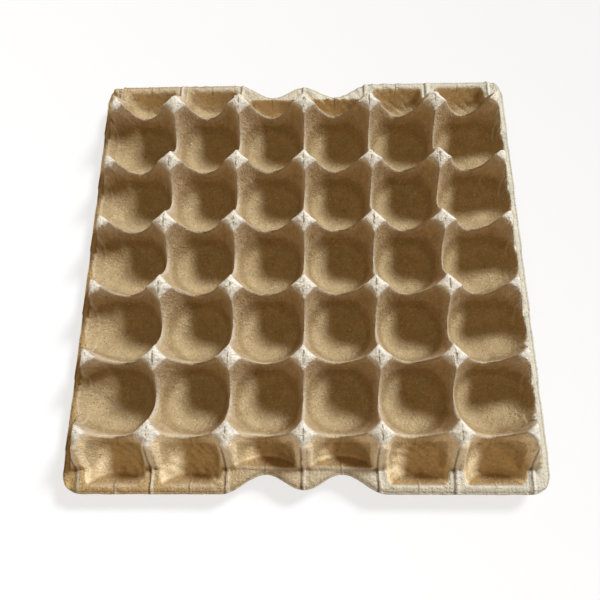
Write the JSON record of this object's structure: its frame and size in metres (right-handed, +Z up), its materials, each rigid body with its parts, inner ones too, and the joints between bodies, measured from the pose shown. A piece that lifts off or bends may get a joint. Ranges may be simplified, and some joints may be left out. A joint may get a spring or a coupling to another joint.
{
  "type": "pulp egg tray",
  "caption": "Square moulded pulp tray with flared round cells between hollow posts, half cells along two ends, a flat rim and finger notches.",
  "frame": {"origin": "centre of the tray on the surface that the cell floors stand on", "axes": "+Z up, +X along a row of cells, +Y towards the back end, which has finger notches like the front end"},
  "size_m": [0.3026, 0.3026, 0.042],
  "materials": {
    "moulded_pulp": "matte"
  },
  "bodies": {
    "root": {"pulp_tray": "moulded_pulp"}
  },
  "joints": []
}
